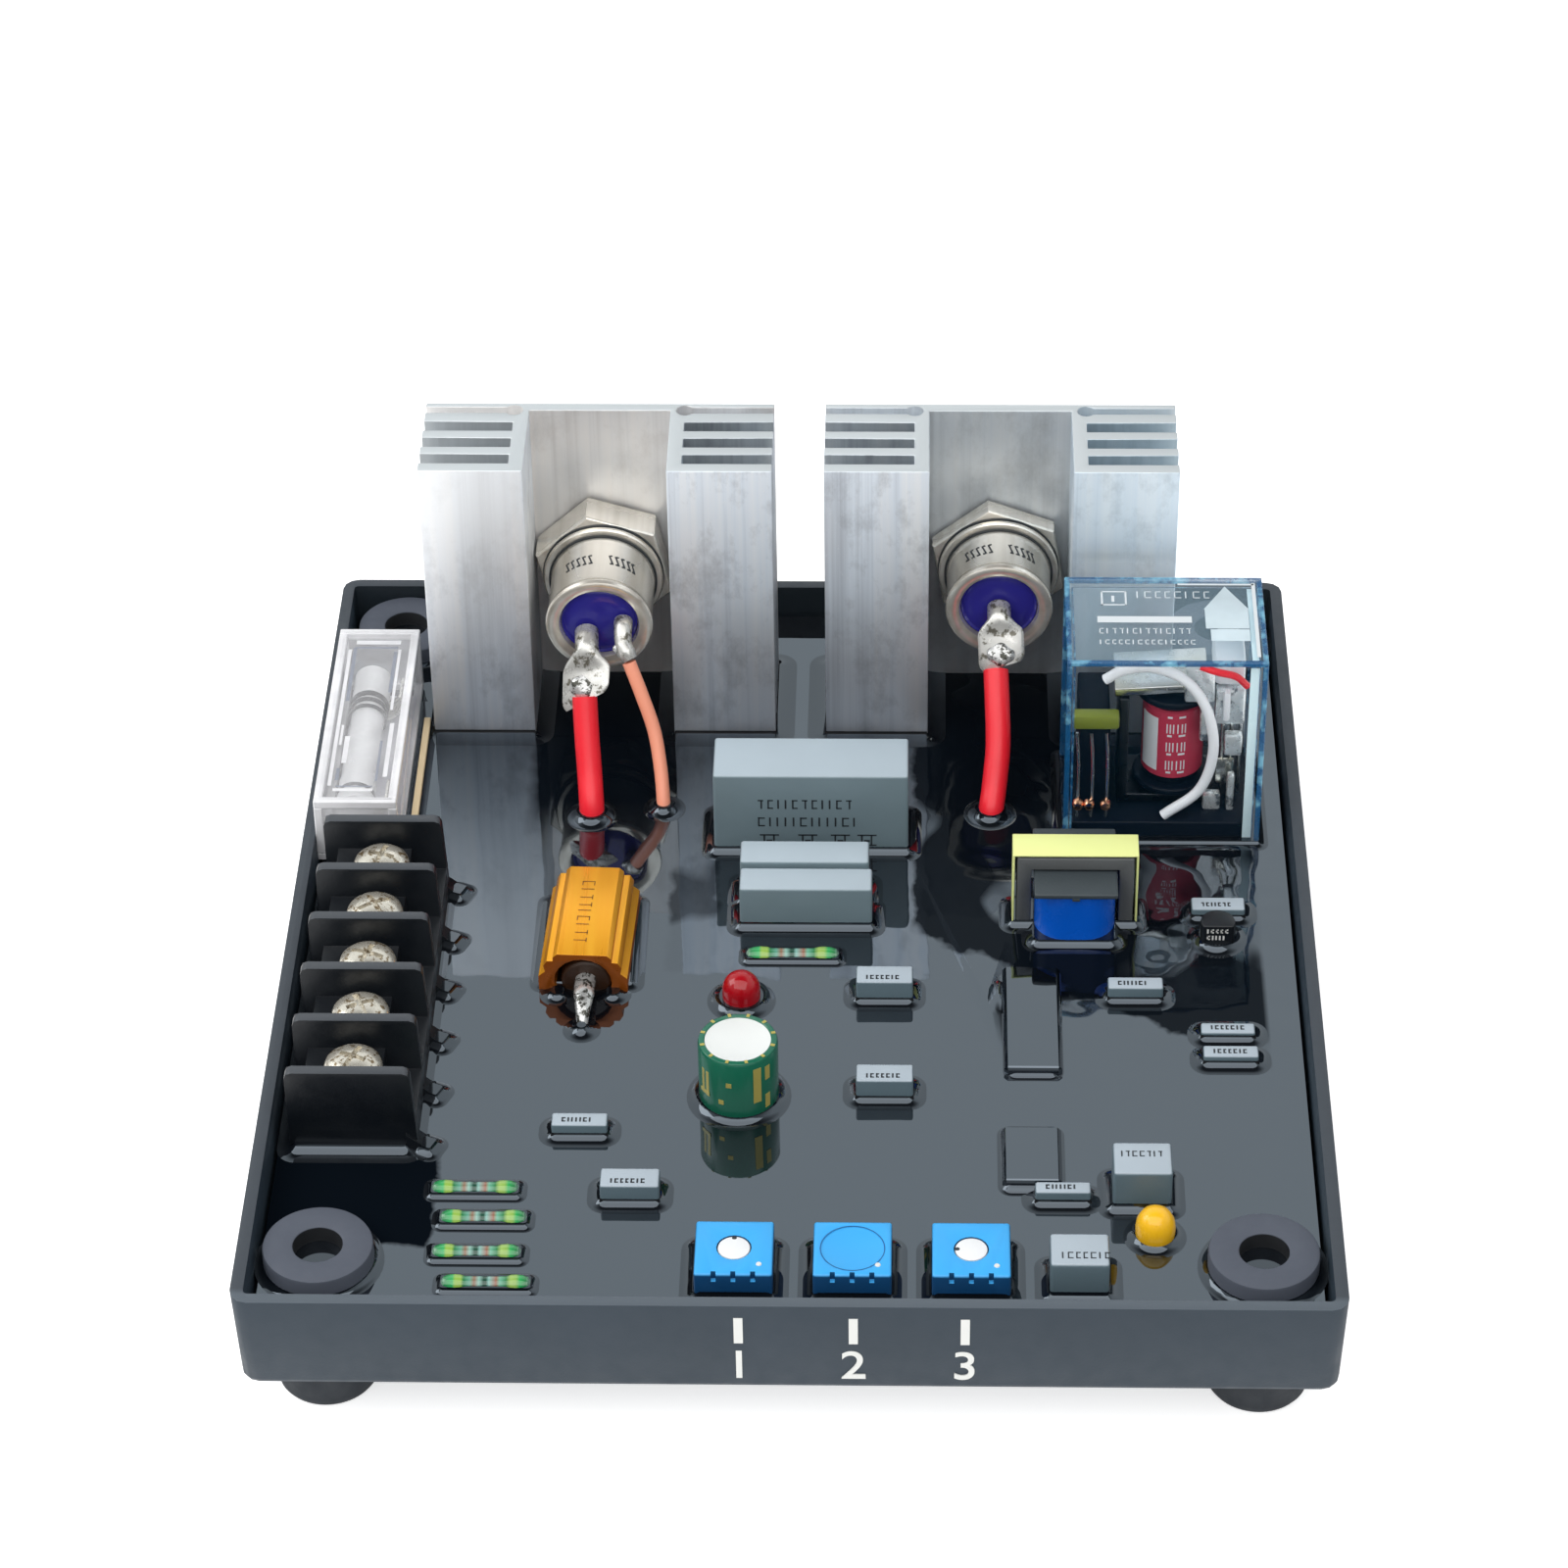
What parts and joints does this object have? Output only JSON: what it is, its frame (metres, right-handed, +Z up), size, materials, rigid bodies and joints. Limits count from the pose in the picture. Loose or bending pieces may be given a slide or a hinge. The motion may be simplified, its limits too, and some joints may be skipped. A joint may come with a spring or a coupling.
{
  "type": "automatic voltage regulator",
  "caption": "Potted voltage regulator module for a generator: open tray with heat sinks, relay, fuse, terminal block and trimmers.",
  "frame": {"origin": "centre of the footprint, level with the feet's soles", "axes": "+Z up; -Y towards the wall with the trimmers' marks; +X to the right seen from there"},
  "size_m": [0.135, 0.15, 0.0635],
  "materials": {
    "tray_plastic": "satin dark grey moulding",
    "black_resin": "glossy black potting",
    "laminate": "green board",
    "aluminium": "bright extruded, brushed along its length",
    "nickel": "bright nickel plate",
    "zinc": "zinc plate",
    "tin": "bright tin plate",
    "violet_glass": "deep blue-violet glass",
    "red_sleeve": "red sleeve",
    "orange_sleeve": "orange-pink sleeve",
    "relay_clear": "clear light blue",
    "fuse_clear": "clear",
    "black_moulding": "satin black",
    "coil_wrap": "red and white wrap",
    "steel": "nickel-plated steel",
    "white_sleeve": "white sleeve",
    "ivory": "ivory moulding",
    "fuse_glass": "glass tube with metal caps",
    "gold_anodised": "gold anodised",
    "ceramic": "pale ceramic with tinned lugs",
    "capacitor_grey": "grey boxes",
    "trimmer_blue": "blue",
    "rotor_white": "white",
    "red_lens": "dark red lens",
    "sleeve_green": "dark green sleeve",
    "bead_yellow": "yellow dip",
    "ferrite": "dark ferrite",
    "yellow_tape": "yellow tape",
    "bobbin_grey": "grey",
    "blue_winding": "blue tape over the winding",
    "rubber": "matte dark grey rubber"
  },
  "bodies": {
    "module": {"tray": "tray_plastic", "potting_compound": "black_resin", "circuit_board": "laminate", "heat_sink_left": "aluminium", "heat_sink_right": "aluminium", "thyristor_case": "nickel", "diode_case": "nickel", "thyristor_nut": "zinc", "diode_nut": "zinc", "thyristor_glass_seal": "violet_glass", "diode_glass_seal": "violet_glass", "thyristor_cathode_lug": "tin", "thyristor_gate_lug": "tin", "diode_lug": "tin", "thyristor_cathode_lead": "red_sleeve", "diode_lead": "red_sleeve", "thyristor_gate_lead": "orange_sleeve", "relay_cover": "relay_clear", "relay_base": "black_moulding", "relay_coil": "coil_wrap", "relay_yoke": "steel", "relay_contacts": "black_moulding", "relay_braid": "white_sleeve", "fuse_base": "ivory", "fuse": "fuse_glass", "fuse_clip_front": "tin", "fuse_clip_rear": "tin", "terminal_block": "black_moulding", "resistor_housing": "gold_anodised", "resistor_core": "ceramic", "main_capacitor": "capacitor_grey", "front_capacitor": "capacitor_grey", "rear_capacitor": "capacitor_grey", "output_capacitor": "capacitor_grey", "corner_capacitor": "capacitor_grey", "trimmer_1": "trimmer_blue", "trimmer_2": "trimmer_blue", "trimmer_3": "trimmer_blue", "indicator_led": "red_lens", "electrolytic_capacitor": "sleeve_green", "bead_capacitor": "bead_yellow", "transistor": "black_moulding", "transformer_core": "ferrite", "transformer_tape": "yellow_tape", "transformer_bobbin": "bobbin_grey", "transformer_winding": "blue_winding", "grommet_front_left": "rubber", "grommet_front_right": "rubber", "grommet_rear_left": "rubber", "grommet_rear_right": "rubber"},
    "terminal_screw_1": {"terminal_screw_1": "tin"},
    "terminal_screw_2": {"terminal_screw_2": "tin"},
    "terminal_screw_3": {"terminal_screw_3": "tin"},
    "terminal_screw_4": {"terminal_screw_4": "tin"},
    "terminal_screw_5": {"terminal_screw_5": "tin"},
    "trimmer_rotor_1": {"trimmer_rotor_1": "rotor_white"},
    "trimmer_rotor_3": {"trimmer_rotor_3": "rotor_white"},
    "relay_armature": {"relay_armature": "steel"},
    "fuse_cover": {"fuse_cover": "fuse_clear"}
  },
  "joints": [
    {"name": "terminal_screw_1_turn", "type": "hinge", "parent": "module", "child": "terminal_screw_1", "pos_m": [-0.0556, -0.03645, 0.0272], "axis": [0, 0, 1], "range_deg": [0, 1080]},
    {"name": "terminal_screw_2_turn", "type": "hinge", "parent": "module", "child": "terminal_screw_2", "pos_m": [-0.0556, -0.0263, 0.0272], "axis": [0, 0, 1], "range_deg": [0, 1080]},
    {"name": "terminal_screw_3_turn", "type": "hinge", "parent": "module", "child": "terminal_screw_3", "pos_m": [-0.0556, -0.01615, 0.0272], "axis": [0, 0, 1], "range_deg": [0, 1080]},
    {"name": "terminal_screw_4_turn", "type": "hinge", "parent": "module", "child": "terminal_screw_4", "pos_m": [-0.0556, -0.006, 0.0272], "axis": [0, 0, 1], "range_deg": [0, 1080]},
    {"name": "terminal_screw_5_turn", "type": "hinge", "parent": "module", "child": "terminal_screw_5", "pos_m": [-0.0556, 0.00415, 0.0272], "axis": [0, 0, 1], "range_deg": [0, 1080]},
    {"name": "trimmer_1_turn", "type": "hinge", "parent": "module", "child": "trimmer_rotor_1", "pos_m": [-0.00675, -0.0646, 0.0234], "axis": [0, 0, 1], "range_deg": [-135, 135]},
    {"name": "trimmer_3_turn", "type": "hinge", "parent": "module", "child": "trimmer_rotor_3", "pos_m": [0.02215, -0.0646, 0.0234], "axis": [0, 0, 1], "range_deg": [-225, 45]},
    {"name": "relay_armature_pivot", "type": "hinge", "parent": "module", "child": "relay_armature", "pos_m": [0.04315, 0.03, 0.0398], "axis": [0, 1, 0], "range_deg": [0, 4], "stiffness_Nm_per_rad": 0.001, "springref_deg": -11.46},
    {"name": "fuse_cover_lift", "type": "slide", "parent": "module", "child": "fuse_cover", "axis": [0, 0, 1], "range_m": [0, 0.015]}
  ]
}
